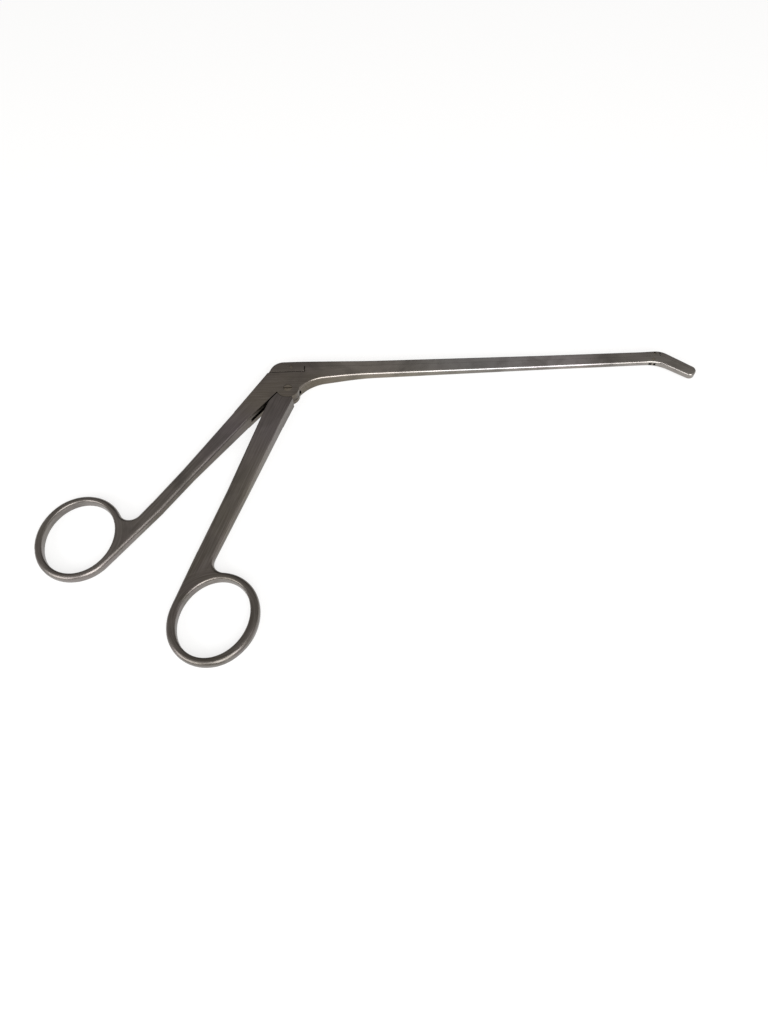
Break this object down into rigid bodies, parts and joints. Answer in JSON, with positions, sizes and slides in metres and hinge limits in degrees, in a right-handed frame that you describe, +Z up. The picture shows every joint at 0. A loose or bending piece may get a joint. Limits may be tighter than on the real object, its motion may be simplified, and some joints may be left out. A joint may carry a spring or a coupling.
{
  "type": "bone rongeur",
  "caption": "Slender sliding bone rongeur with finger rings, a long straight shaft and a short down-angled cupped jaw.",
  "frame": {"origin": "on the handle pivot's axis, at the plane the instrument rests on when it lies on its side", "axes": "+X along the shaft towards the jaws, +Y away from the finger rings, +Z up through the instrument's thickness"},
  "size_m": [0.2789, 0.1389, 0.006],
  "materials": {
    "satin_steel_frame": "satin",
    "satin_steel_slider": "satin",
    "satin_steel_handle": "satin",
    "satin_steel_jaw": "satin",
    "polished_screw": "polished",
    "ground_pin": "ground"
  },
  "bodies": {
    "frame": {"frame": "satin_steel_frame", "pivot_screw": "polished_screw", "jaw_pin": "ground_pin"},
    "front_handle": {"front_handle": "satin_steel_handle"},
    "slider": {"slider": "satin_steel_slider", "drive_pin": "ground_pin", "rear_guide_stud": "ground_pin", "front_guide_stud": "ground_pin"},
    "upper_jaw": {"upper_jaw": "satin_steel_jaw", "link_pin": "ground_pin"}
  },
  "joints": [
    {"name": "handle_pivot", "type": "hinge", "parent": "frame", "child": "front_handle", "pos_m": [0, 0, 0.003], "axis": [0, 0, 1], "range_deg": [0, 12.61]},
    {"name": "slider_slide", "type": "slide", "parent": "frame", "child": "slider", "axis": [-1, 0, 0], "range_m": [0, 0.00259]},
    {"name": "jaw_hinge", "type": "hinge", "parent": "frame", "child": "upper_jaw", "pos_m": [0.1642, 0.0102, 0.003], "axis": [0, 0, 1], "range_deg": [0, 44.01]}
  ],
  "couplings": [
    {"joint": "slider_slide", "follows": "handle_pivot", "m_per_rad": 0.011747},
    {"joint": "jaw_hinge", "follows": "handle_pivot", "ratio": 3.4902}
  ]
}
